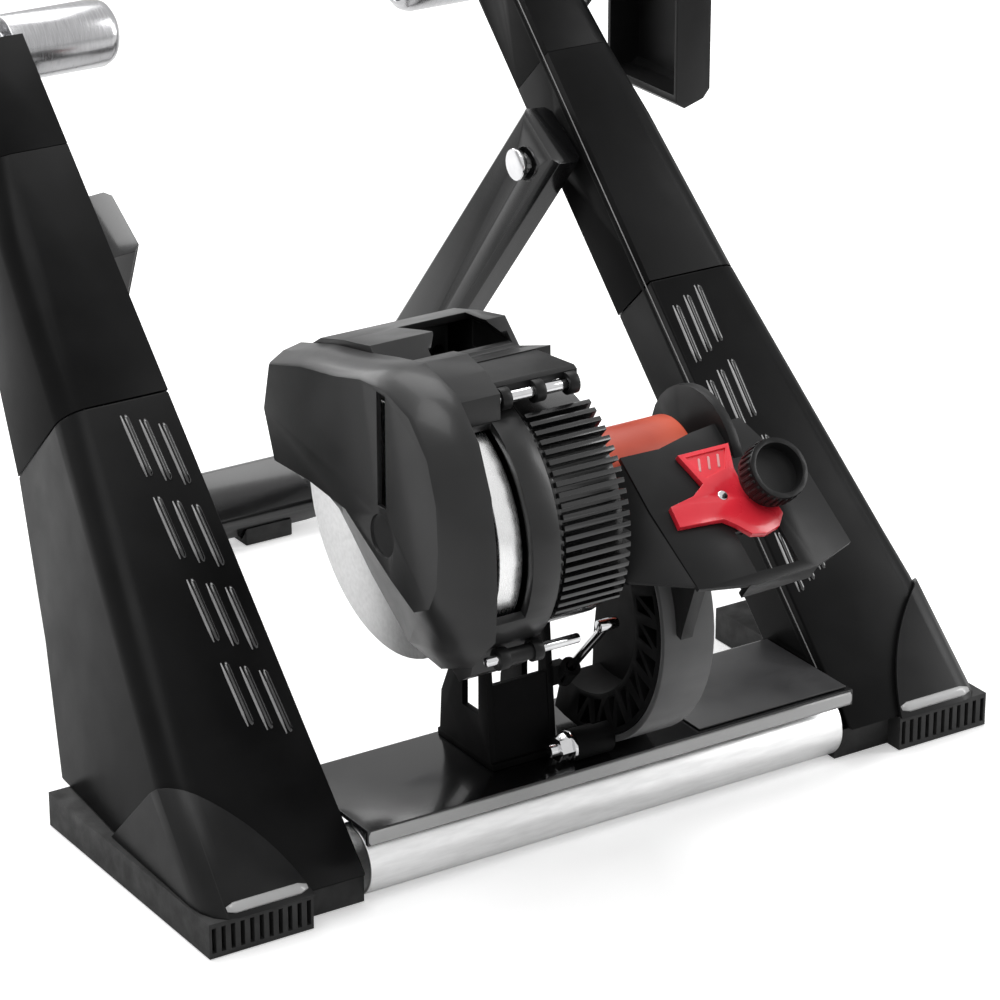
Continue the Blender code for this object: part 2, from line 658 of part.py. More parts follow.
def build_shield():
    """Thin pale disc behind the cover, set back from the spindle."""
    centre = (SPIN_Y + 0.038, SPIN_Z - 0.003)
    shield = turned("inner_shield", [(SHIELD_X[0], 0.087), (SHIELD_X[1], 0.087)], centre, "pale", 72)
    cut(shield, along_x("shield_way", -0.14, -0.10, SPIN_Y, SPIN_Z, 0.014, None, 32),
        box("shield_top", (-0.14, SPIN_Y - 0.2, SPIN_Z + 0.060), (-0.10, SPIN_Y + 0.2, SPIN_Z + 0.2), None))


def build_guard():
    """Ring round the flywheel, with the front window and the wall that holds a bearing."""
    x0, x1 = GUARD_X
    guard = along_x("flywheel_guard", x0, x1, SPIN_Y, SPIN_Z, GUARD_R, "shell", 64)
    foot = prism("guard_foot", around((-0.020, -0.074), (-0.034, -0.082), (-0.046, -0.074),
                                      (-0.050, -0.056)), (x0, x1), None)
    join(guard, foot)
    wheel_way = along_x("guard_way", x0 - 0.01, x1 - 0.004, SPIN_Y, SPIN_Z, WHEEL_R + 0.0025, None, 64)
    wedge = [(SPIN_Y, SPIN_Z)] + arc((SPIN_Y, SPIN_Z), 0.12, 118, 206, 6)
    window = prism("guard_window", wedge, (x0 - 0.01, WHEEL_X[1] + 0.0010), None)
    seat = along_x("guard_seat", x1 - 0.02, x1 + 0.01, SPIN_Y, SPIN_Z, 0.016, None, 32)
    cut(guard, wheel_way, window, seat)


def drum_outline():
    """Round drum with straight fins over its front."""
    first = FIN_MIDDLE - FIN_PITCH * (FINS - 1) / 2
    half_low = FIN_THICK / 2 / DRUM_R
    half_top = FIN_THICK / 2 / (DRUM_R + FIN_HIGH)
    points = []
    for i in range(FINS):
        a = first + FIN_PITCH * i
        for angle, r in ((a - half_low, DRUM_R), (a - half_top, DRUM_R + FIN_HIGH),
                         (a + half_top, DRUM_R + FIN_HIGH), (a + half_low, DRUM_R)):
            points.append((SPIN_Y + r * cos(angle), SPIN_Z + r * sin(angle)))
    last = first + FIN_PITCH * (FINS - 1)
    rest = 2 * pi - (last - first)
    for i in range(1, 32):
        a = last + rest * i / 32
        points.append((SPIN_Y + DRUM_R * cos(a), SPIN_Z + DRUM_R * sin(a)))
    return points


def build_brake():
    x0, x1 = DRUM_X
    drum = prism("brake_housing", drum_outline(), (x0 + 0.004, x1), "shell")
    collar = along_x("brake_collar", x0, x0 + 0.005, SPIN_Y, SPIN_Z, DRUM_R + 0.004, None, 56)
    lug = prism("pivot_lug", [(RING_Y - 0.010, RING_Z), (RING_Y - 0.012, SPIN_Z - 0.050),
                              (RING_Y + 0.012, SPIN_Z - 0.050), (RING_Y + 0.010, RING_Z)],
                LUG_X, None)
    eye = along_x("lug_eye", *LUG_X, RING_Y, RING_Z, 0.010, None, 32)
    join(drum, collar, lug, eye)
    room = along_x("brake_room", x0 + 0.008, x1 - 0.008, SPIN_Y, SPIN_Z, DRUM_R - 0.008, None, 40)
    way = along_x("brake_way", x0 - 0.01, x1 + 0.01, SPIN_Y, SPIN_Z, SEAT_R + GAP, None, 32)
    bore = along_x("lug_bore", -0.1, 0.0, RING_Y, RING_Z, PIN_R + RUN, None, 32)
    cut(drum, room, way, bore)
    plate = along_x("magnet_plate", x0 + 0.0083, x0 + 0.0123, SPIN_Y, SPIN_Z, DRUM_R - 0.0083, "steel",
                    40, 0.014)
    for i in range(8):
        a = 2 * pi * i / 8
        join(plate, along_x(f"magnet_{i}", x0 + 0.012, x0 + 0.016, SPIN_Y + 0.044 * cos(a),
                            SPIN_Z + 0.044 * sin(a), 0.009, None, 12))
    for word, x in (("left", x0), ("right", x1 - 0.008)):
        along_x(word + "_bearing", x, x + 0.008, SPIN_Y, SPIN_Z, SEAT_R, "steel", 32, SHAFT_R + RUN)


def build_rotor():
    """Everything that spins with the tyre."""
    here = Vector((0.0, SPIN_Y, SPIN_Z))
    hold = SHAFT_R + GAP
    set_origin(along_x("rotor_shaft", -0.1240, 0.0745, SPIN_Y, SPIN_Z, SHAFT_R, "steel", 32), here)
    low, high = ROLLER_X
    sleeve = [(low, ROLLER_R - 0.001), (low + 0.001, ROLLER_R), (high - 0.001, ROLLER_R),
              (high, ROLLER_R - 0.001)]
    set_origin(turned("roller", sleeve, (SPIN_Y, SPIN_Z), "roller", 56, hold), here)
    low, high = WHEEL_X
    wheel = [(low, 0.060), (low + 0.0045, WHEEL_R - 0.004), (low + 0.0005, WHEEL_R - 0.002),
             (low + 0.002, WHEEL_R), (high - 0.001, WHEEL_R), (high, WHEEL_R - 0.001)]
    set_origin(turned("flywheel", wheel, (SPIN_Y, SPIN_Z), "aluminium", 64, hold), here)
    set_origin(along_x("rotor_disc", -0.0585, -0.0555, SPIN_Y, SPIN_Z, 0.054, "copper", 40, hold), here)


def build_hood():
    """Cable hood behind and above the drum, open at its top for the cables."""
    x0, x1 = HOOD_X
    under = arc((SPIN_Y, SPIN_Z), GUARD_R + GAP, 20, 82, 10)
    outline = around((0.124, 0.016), (0.135, 0.024), (0.1400, 0.042), (0.1320, 0.062), (0.1120, 0.075),
                     (0.086, 0.082), (0.058, 0.0875), (0.043, 0.0740), (0.0112, 0.0845)) + under[::-1]
    hood = prism("cable_hood", outline, (x0, x1), "cover")
    pocket = around((0.119, 0.021), (0.131, 0.028), (0.1355, 0.042), (0.1280, 0.058), (0.1100, 0.0705),
                    (0.085, 0.0780), (0.061, 0.0830), (0.056, 0.0610), (0.066, 0.052), (0.080, 0.032))
    cut(hood, prism("hood_pocket", pocket, (x0 + 0.004, x1 - 0.003), None))
    left, right = MOUTH_X
    wide = SPIN_Z + 0.0600
    arch = [(left, wide), (right, wide), (right, SPIN_Z + 0.0760), (right - 0.010, SPIN_Z + 0.0860),
            (right - 0.014, SPIN_Z + 0.0950), (left + 0.012, SPIN_Z + 0.0950), (left + 0.008, SPIN_Z + 0.0860),
            (left, SPIN_Z + 0.0780)]
    scoop = loft("hood_scoop", [[Vector((a, b, c)) for a, c in arch]
                                for b in (SPIN_Y + 0.0500, SPIN_Y + 0.0880)], None)
    lip = box("hood_lip", (left + 0.001, SPIN_Y + 0.0330, SPIN_Z + 0.0755),
              (right - 0.001, SPIN_Y + 0.0510, SPIN_Z + 0.1000), None)
    cut(hood, scoop, lip)
    block = around((0.0930, 0.0440), (0.1105, 0.0440), (0.1105, 0.0698), (0.0930, 0.0749))
    sockets = prism("cable_sockets", block, (left + 0.001, right - 0.014), "shell")
    for i, x in enumerate(SOCKET_X):
        cut(sockets, along_y(f"socket_eye_{i}", x, SPIN_Z + 0.0585, SPIN_Y + 0.08, SPIN_Y + 0.11, 0.0046,
                             None))


def build_latches():
    """Hinge pins and keepers over and under the guard."""
    (y, z), = around((-0.0320, 0.0795))
    along_x("upper_latch_pin", BROW_END + GAP, -0.0400, y, z, 0.0034, "chrome", 24)
    shelf = around((0.0104, 0.0798), (0.0104, 0.0840), (-0.0270, 0.0875), (-0.0300, 0.0860),
                   (-0.0300, 0.0825), (-0.0240, 0.0800))
    keeper = prism("upper_latch_keeper", shelf, (BROW_END + GAP, -0.0380), "shell")
    for i, x in enumerate((-0.0880, -0.0660, -0.0440)):
        join(keeper, along_x(f"keeper_eye_{i}", x - 0.003, x + 0.003, y, z, 0.0064, None, 20))
    cut(keeper, along_x("keeper_bore", -0.13, -0.02, y, z, 0.0034 + GAP, None, 24))
    low = around((-0.0600, -0.0605))[0]
    along_x("lower_latch_pin", -0.1170, -0.0560, *low, 0.0028, "chrome", 20)
    clip = along_x("lower_latch_keeper", -0.1100, -0.0820, *low, 0.0046, "shell", 20)
    for i, x in enumerate((-0.1070, -0.0850)):
        join(clip, along_x(f"clip_eye_{i}", x - 0.003, x + 0.003, *low, 0.0064, None, 20))
    cut(clip, along_x("clip_bore", -0.13, -0.03, *low, 0.0028 + GAP, None, 20))


def ring_outline(r_in, r_out, start, end, steps):
    centre = (RING_Y, RING_Z)
    return arc(centre, r_out, start, end, steps) + arc(centre, r_in, end, start, steps)


def build_ring():
    """Trussed guide ring that stands on the crossbar, with a smooth outer band."""
    start, end = 142.0, 286.0
    x0, x1 = RING_X
    ring = prism("guide_ring", ring_outline(RING_IN, RING_R - BAND - GAP, start, end, 20),
                 (x0, x1 - 0.003), "shell")
    base = BAR_TOP + GAP
    boss = along_x("ring_boss", FOOT_END, x0 + 0.004, RING_Y - 0.0315, base + 0.0095, 0.0094, None, 32)
    edge = ((-0.0150, 0.0430), (0.0060, 0.0200), (0.0190, -0.0100), (0.0230, -0.0400), (0.0240, -0.0660))
    web = [(RING_Y + y, RING_Z + z) for y, z in edge]
    web += arc((RING_Y, RING_Z), RING_IN + 0.002, 286, 152, 20)
    join(ring, boss, prism("ring_web", web, (x1 - 0.0075, x1 - 0.0040), None))
    cut(ring, prism("band_room", ring_outline(RING_R - BAND - GAP, RING_R + 0.02, 130, 280, 40),
                    (x0 - GAP, x1 + 0.01), None))
    cut(ring, along_x("clevis_hole", FOOT_END - 0.01, x0 - 0.004, RING_Y - 0.0315, base + 0.0095,
                      0.004 + GAP, None, 24))
    cells = 9
    inner, outer = RING_IN + 0.0035, RING_R - BAND - GAP - 0.0035
    pitch = (end - start - 16) / cells
    for i in range(cells):
        a = start + 3 + pitch * i
        b = a + pitch - 3.0
        for word, corners in (("low", ((inner, a), (inner, b - 2), (outer, b))),
                              ("high", ((inner, a), (outer, b - 1), (outer, a)))):
            points = [Vector((RING_Y + r * cos(radians(t)), RING_Z + r * sin(radians(t))))
                      for r, t in corners]
            middle = sum(points, Vector((0.0, 0.0))) / 3
            shift = 0.0012 if word == "low" else -0.0012
            away = (Vector((RING_Y, RING_Z)) - middle).normalized() * shift
            small = [tuple(middle + away + (p - middle) * 0.80) for p in points]
            cut(ring, prism(f"truss_{word}_{i}", small, (x0 - 0.01, x1 - 0.008), None))
    band = prism("guide_band", ring_outline(RING_R - BAND, RING_R, start, 262, 24), RING_X, "shell")
    for name, obj in (("ring", ring), ("band", band)):
        cut(obj, floor_cutter(name + "_stand_cut", base))


def build_yoke():
    """Steel yoke on the crossbar that carries the unit's pivot pin."""
    base = BAR_TOP + GAP
    x0, x1 = YOKE_X
    yoke = box("pivot_yoke", (x0, RING_Y - 0.020, base), (x1, RING_Y + 0.040, base + 0.004), "frame")
    outline = [(RING_Y - 0.018, base + 0.001), (RING_Y - 0.010, RING_Z)]
    outline += arc((RING_Y, RING_Z), 0.010, 150, 30, 6)
    outline += [(RING_Y + 0.010, RING_Z), (RING_Y + 0.036, base + 0.030), (RING_Y + 0.038, base + 0.001)]
    for i, x in enumerate((x0, x1 - 0.004)):
        cheek = prism(f"yoke_cheek_{i}", outline, (x, x + 0.004), None)
        join(yoke, cheek)
    web = [(RING_Y - 0.0178, base + 0.001), (RING_Y - 0.0120, base + 0.050), (RING_Y - 0.0085, base + 0.050),
           (RING_Y - 0.0140, base + 0.001)]
    join(yoke, prism("yoke_web", web, (x0 + 0.001, x1 - 0.001), None))
    window = box("yoke_window", (x0 - 0.01, RING_Y - 0.004, base + 0.030), (x1 + 0.01, RING_Y + 0.013,
                                                                          base + 0.062), None)
    cut(yoke, window, along_x("yoke_bore", -0.12, 0.0, RING_Y, RING_Z, PIN_R + GAP, None, 32))
    pin = along_x("unit_pivot_pin", x0 - 0.004, x1 + 0.0005, RING_Y, RING_Z, PIN_R, "chrome", 32)
    join(pin, along_x("pin_head", x0 - 0.006, x0 - GAP, RING_Y, RING_Z, 0.0080, None, 6))


def build_mount_bolt():
    """Bolt, washer and nut through the foot of the guide ring."""
    y, z = RING_Y - 0.0315, BAR_TOP + GAP + 0.0095
    bolt = along_x("mount_bolt", FOOT_END - 0.0150, -0.0045, y, z, 0.0040, "chrome", 24)
    washer = along_x("mount_washer", FOOT_END - 0.0022, FOOT_END - GAP, y, z, 0.0092, None, 32)
    nut = along_x("mount_nut", FOOT_END - 0.0100, FOOT_END - 0.0015, y, z, 0.0080, None, 6)
    join(bolt, washer, nut)


def build_stay():
    """Diagonal chrome stay with a cross head, seated in a boss on the yoke."""
    x = YOKE_X[1] + 0.0075
    foot = Vector((x, RING_Y - 0.0145, RING_Z - 0.040))
    top = Vector((x, RING_Y - 0.0575, RING_Z + 0.008))
    along = (top - foot).normalized()
    rod = spindle("stay_rod", foot, top, 0.0028, "chrome", 20)
    head = spindle("stay_head", top - Vector((0.006, 0.0, 0.0)), top + Vector((0.006, 0.0, 0.0)), 0.0036,
                   None, 20)
    join(rod, head)
    boss = spindle("stay_boss", foot - along * 0.004, foot + along * 0.010, 0.0062, None, 20)
    bridge = box("stay_bridge", (YOKE_X[1] - 0.002, foot.y - 0.003, foot.z - 0.004),
                 (x, foot.y + 0.005, foot.z + 0.008), None)
    yoke = bpy.data.objects["pivot_yoke"]
    join(yoke, boss, bridge)
    cut(yoke, spindle("stay_seat", foot - along * GAP, foot + along * 0.03, 0.0028 + GAP, None, 20))


def on_plate(x, u, n=0.0):
    """A point on the bracket plate: u up the slope from its front edge, n above its face."""
    c, s = cos(PLATE_SLOPE), sin(PLATE_SLOPE)
    return Vector((x, PLATE_Y + u * c - n * s, PLATE_Z + u * s + n * c))


def plate_body(name, outline, low, high, look):
    """An (x, u) outline between two levels of the plate."""
    return loft(name, [[on_plate(x, u, n) for x, u in outline] for n in (low, high)], look)


def plate_round(name, x, u, low, high, radius, look, sides=SIDES, bore=0.0):
    return spindle(name, on_plate(x, u, low), on_plate(x, u, high), radius, look, sides, bore)


def build_bracket():
    """Sloping roller bracket: plate, left wing, end disc on the drum, ear and foot."""
    outline = [(-0.002, 0.006), (0.035, 0.0), (0.077, 0.0012), (0.105, 0.010), (0.103, 0.065),
               (0.086, 0.0875), (0.080, 0.103), (0.062, 0.103), (0.044, 0.101), (0.020, 0.096),
               (-0.006, 0.0965), (-0.006, 0.059)]
    plate = plate_body("roller_bracket", outline, -PLATE_THICK, 0.0, "shell")
    wing = loft("bracket_wing", [[on_plate(x, u, n - drop) for x, u, drop in
                                  ((-0.0315, 0.030, 0.017), (-0.001, 0.008, 0.0), (-0.004, 0.060, 0.0),
                                   (-0.004, 0.094, 0.0), (-0.0315, 0.080, 0.017))]
                                 for n in (-PLATE_THICK + 0.0004, -0.0004)], None)
    disc = along_x("bracket_disc", DRUM_X[1] + GAP, DRUM_X[1] + 0.005, SPIN_Y, SPIN_Z, 0.040, None, 48)
    strut = prism("bracket_strut", [on_side(0.028, -0.018), on_side(0.082, -0.018), on_side(0.090, -0.035),
                                    on_side(0.040, -0.040)], (DRUM_X[1] + 0.0009, DRUM_X[1] + 0.0044),
                  None)
    ear_outline = arc((SPIN_Y, SPIN_Z), EAR_R, -60, 165, 18)
    ear_outline += around((-0.066, -0.012), (-0.050, -0.030), (-0.018, -0.039))
    ear = prism("bracket_ear", ear_outline, EAR_X, None)
    reach = RING_R + GAP
    shoe = arc((RING_Y, RING_Z), reach, 176, 152, 5)
    foot = prism("bracket_foot", [on_side(0.020, -0.001), (RING_Y - reach - 0.006, RING_Z + 0.012),
                                  (RING_Y - reach - 0.004, RING_Z + 0.005)] + shoe
                 + [on_side(0.060, -0.001)], (0.008, 0.016), None)
    skirt = plate_body("bracket_skirt", [(0.030, 0.0005), (0.078, 0.0015), (0.078, 0.0050),
                                         (0.030, 0.0040)], -0.014, -0.001, None)
    join(plate, wing, disc, strut, ear, foot, skirt)
    slot = plate_body("bracket_slot", [(SLOT_X[0], 0.007), (SLOT_X[1], 0.007), (SLOT_X[1], 0.034),
                                       (SLOT_X[0], 0.034)], -0.03, 0.01, None)
    roller_way = along_x("roller_way", ROLLER_X[0] - 0.0015, EAR_X[0], SPIN_Y, SPIN_Z,
                         ROLLER_R + 0.0012, None, 48)
    seat = along_x("bearing_seat", EAR_X[0] - 0.01, EAR_X[1] + 0.01, SPIN_Y, SPIN_Z, SEAT_R + GAP,
                   None, 32)
    way = along_x("shaft_way", DRUM_X[1] - 0.01, DRUM_X[1] + 0.01, SPIN_Y, SPIN_Z, SHAFT_R + 0.002,
                  None, 32)
    knob_hole = screw_round("knob_hole", -0.03, 0.02, SCREW_R + RUN, None, 24)
    pin_hole = plate_round("pin_hole", *LEVER_PIN, -0.03, 0.02, 0.0030 + GAP, None, 20)
    cut(plate, roller_way, slot, seat, way, knob_hole, pin_hole)
    along_x("outer_bearing", EAR_X[0], EAR_X[1], SPIN_Y, SPIN_Z, SEAT_R, "steel", 32, SHAFT_R + RUN)


def on_side(u, n):
    point = on_plate(0.0, u, n)
    return (point.y, point.z)


def on_screw(height):
    lean_by = PLATE_SLOPE + KNOB_TILT
    return on_plate(KNOB_X, KNOB_U) + Vector((0.0, -sin(lean_by), cos(lean_by))) * height


def screw_round(name, low, high, radius, look, sides=SIDES):
    return spindle(name, on_screw(low), on_screw(high), radius, look, sides)


def build_knob():
    """Hollow ribbed knob with a collar, on the screw that sets the roller's pressure."""
    knob = screw_round("tension_knob", 0.0105, KNOB_HIGH, KNOB_R, "shell", 36)
    collar = screw_round("knob_collar", 0.0030, 0.0110, 0.0075, None, 28)
    hollow = screw_round("knob_hollow", 0.0180, KNOB_HIGH + 0.01, KNOB_R - 0.0030, None, 36)
    join(knob, collar)
    cut(knob, hollow, screw_round("knob_seat", -0.01, 0.0160, SCREW_R + GAP, None, 24))
    screw = screw_round("tension_screw", -0.022, 0.0157, SCREW_R, "chrome", 24)
    for obj in (knob, screw):
        set_origin(obj, on_screw(0.0))


def build_lever():
    """Red lever on its own pin: marked window, wing and thumb lobe."""
    outline = [(0.026, 0.087), (0.0610, 0.087), (0.056, 0.071), (0.055, 0.050), (0.063, 0.0455),
               (0.070, 0.0435), (0.0705, 0.036), (0.064, 0.0290), (0.054, 0.0265), (0.045, 0.0285),
               (0.039, 0.036), (0.033, 0.0415), (0.020, 0.0425), (0.004, 0.0435), (0.005, 0.057),
               (0.022, 0.060), (0.032, 0.066)]
    low, high = LEVER_LEVELS
    lever = plate_body("release_lever", outline, low, high, "red")
    x, u = LEVER_PIN
    recess = plate_body("lever_recess", [(0.030, 0.0845), (0.0575, 0.0845), (0.051, 0.072),
                                         (0.036, 0.069)], high - 0.0012, high + 0.01, None)
    cut(lever, recess, plate_round("lever_bore", x, u, -0.01, 0.03, 0.0030 + RUN, None, 20))
    set_origin(lever, on_plate(x, u, 0.0))
    pin = plate_round("lever_pivot", x, u, -PLATE_THICK - 0.0020, high + 0.0004, 0.0030, "chrome", 20)
    return pin


def main():
    clear_scene()
    for word, side in (("left", -1), ("right", 1)):
        build_leg(word, side)
        build_foot(word, side)
        build_cap(word, side)
        build_barrel(word, side)
    build_crossbar()
    build_rear_frame()
    build_rear_feet()
    build_rear_bolts()
    build_adjuster()
    build_quick_lever()
    build_left_cover()
    build_shield()
    build_guard()
    build_brake()
    build_rotor()
    build_hood()
    build_latches()
    build_ring()
    build_yoke()
    build_stay()
    build_mount_bolt()
    build_bracket()
    build_knob()
    build_lever()


main()
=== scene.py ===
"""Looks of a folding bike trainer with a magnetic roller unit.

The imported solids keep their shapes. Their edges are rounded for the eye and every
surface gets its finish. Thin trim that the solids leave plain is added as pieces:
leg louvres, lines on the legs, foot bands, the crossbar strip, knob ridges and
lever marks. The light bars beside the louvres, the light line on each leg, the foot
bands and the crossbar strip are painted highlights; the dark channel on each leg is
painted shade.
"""

import json
from math import cos, pi, radians, sin

import bmesh
import bpy
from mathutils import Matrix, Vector


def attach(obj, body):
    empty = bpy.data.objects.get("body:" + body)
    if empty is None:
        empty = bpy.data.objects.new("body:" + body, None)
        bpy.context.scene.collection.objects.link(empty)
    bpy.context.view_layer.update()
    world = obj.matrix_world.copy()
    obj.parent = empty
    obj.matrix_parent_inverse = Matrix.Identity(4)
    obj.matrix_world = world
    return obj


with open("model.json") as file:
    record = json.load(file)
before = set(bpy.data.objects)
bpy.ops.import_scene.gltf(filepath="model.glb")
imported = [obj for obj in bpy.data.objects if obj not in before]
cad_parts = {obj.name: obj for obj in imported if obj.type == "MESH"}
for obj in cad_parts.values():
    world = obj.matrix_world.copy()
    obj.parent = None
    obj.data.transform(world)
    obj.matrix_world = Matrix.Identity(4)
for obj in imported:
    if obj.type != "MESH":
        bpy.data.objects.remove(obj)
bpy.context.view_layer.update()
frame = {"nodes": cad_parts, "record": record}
NODES = frame["nodes"]

# Places shared with the solids, in metres
FRONT = -0.2249
LEAN = radians(45.4)
LEG_START = 0.020
PLATE = Vector((0.0, -0.3074, 0.1835))
BAR_FRONT = (-0.2239, 0.0447)  # middle of the crossbar's front lip in (y, z)
BAR_END = 0.1690
KNOB_AXIS = Vector((0.0, -0.7757, 0.6311))
KNOB_FOOT = Vector((0.068, -0.2594, 0.2195))

# Trim, in metres
LOUVRE_GROUPS = 4
LOUVRE_BARS = 3
LOUVRE_START = 0.1230   # first group, up the leg's slope
LOUVRE_PITCH = 0.0530
LOUVRE_X = 0.1800
LOUVRE_STEP = 0.0105    # across the leg, bar to bar
LOUVRE_LONG = 0.0400
CHANNEL_X = 0.1700      # inner face of a leg
CHANNEL_ENDS = (0.060, 0.575)
KNOB_RIDGES = 30
KNOB_R = 0.0180

# The photograph's viewpoint
CAMERA_AT = (-1.2388, -2.0178, 1.1362)
CAMERA_TURN = (67.02, 0.0, -32.82)
LENS = 151.2


class Shader:
    """A Principled material whose colour, roughness and bump come from noise."""

    def __init__(self, name):
        self.material = bpy.data.materials.new(name)
        self.material.use_nodes = True
        self.tree = self.material.node_tree
        self.shader = self.tree.nodes["Principled BSDF"]
        self.coords = self.add("ShaderNodeTexCoord").outputs["Object"]

    def add(self, kind, **values):
        node = self.tree.nodes.new(kind)
        for key, value in values.items():
            setattr(node, key, value)
        return node

    def link(self, source, target):
        self.tree.links.new(source, target)

    def noise(self, scale, detail=3.0, stretch=(1, 1, 1), turn=(0, 0, 0)):
        mapping = self.add("ShaderNodeMapping")
        mapping.inputs["Scale"].default_value = stretch
        mapping.inputs["Rotation"].default_value = turn
        self.link(self.coords, mapping.inputs["Vector"])
        noise = self.add("ShaderNodeTexNoise")
        noise.inputs["Scale"].default_value = scale
        noise.inputs["Detail"].default_value = detail
        self.link(mapping.outputs["Vector"], noise.inputs["Vector"])
        return noise.outputs["Fac"]

    def spread(self, factor, low, high, start=0.3, end=0.7):
        ranged = self.add("ShaderNodeMapRange")
        ranged.inputs["From Min"].default_value = start
        ranged.inputs["From Max"].default_value = end
        ranged.inputs["To Min"].default_value = low
        ranged.inputs["To Max"].default_value = high
        self.link(factor, ranged.inputs["Value"])
        return ranged.outputs["Result"]

    def colour(self, dark, light, scale, detail=4.0, stretch=(1, 1, 1)):
        ramp = self.add("ShaderNodeValToRGB")
        ramp.color_ramp.elements[0].position = 0.35
        ramp.color_ramp.elements[1].position = 0.65
        ramp.color_ramp.elements[0].color = (*dark, 1)
        ramp.color_ramp.elements[1].color = (*light, 1)
        self.link(self.noise(scale, detail, stretch), ramp.inputs["Fac"])
        self.link(ramp.outputs["Color"], self.shader.inputs["Base Color"])

    def roughness(self, low, high, scale, detail=4.0, stretch=(1, 1, 1)):
        self.link(self.spread(self.noise(scale, detail, stretch), low, high),
                  self.shader.inputs["Roughness"])

    def bump(self, factor, strength, distance):
        bump = self.add("ShaderNodeBump")
        bump.inputs["Strength"].default_value = strength
        bump.inputs["Distance"].default_value = distance
        self.link(factor, bump.inputs["Height"])
        self.link(bump.outputs["Normal"], self.shader.inputs["Normal"])

    def put(self, **values):
        for key, value in values.items():
            self.shader.inputs[key.replace("_", " ").title().replace("Ior", "IOR")].default_value = value


def moulded(name, dark, light, rough, grain=0.25, size=1400, coat=0.0, specular=0.5):
    """Moulded plastic with a fine etched grain."""
    s = Shader(name)
    s.colour(dark, light, 18)
    s.roughness(rough[0], rough[1], 35)
    s.bump(s.noise(size, 2.0), grain, 0.00012)
    s.put(coat_weight=coat, coat_roughness=0.12, specular_ior_level=specular)
    return s.material


def enamel(name, dark, light, rough, coat=0.6):
    """Sprayed enamel on steel, with a faint orange-peel."""
    s = Shader(name)
    s.colour(dark, light, 9)
    s.roughness(rough[0], rough[1], 22)
    s.bump(s.noise(260, 1.5), 0.12, 0.0002)
    s.put(coat_weight=coat, coat_roughness=0.08)
    return s.material


def metal(name, dark, light, rough, stretch=(1, 1, 1), size=120, bump=0.08):
    """Bare metal with machining lines across the stretched direction."""
    s = Shader(name)
    s.colour(dark, light, size, 4.0, stretch)
    s.roughness(rough[0], rough[1], size * 1.3, 3.0, stretch)
    s.bump(s.noise(size * 4, 2.0, stretch), bump, 0.00008)
    s.put(metallic=1.0)
    return s.material


def rubber(name):
    s = Shader(name)
    s.colour((0.006, 0.006, 0.006), (0.013, 0.013, 0.013), 60)
    s.roughness(0.55, 0.8, 90)
    s.bump(s.noise(900, 4.0), 0.35, 0.0002)
    return s.material


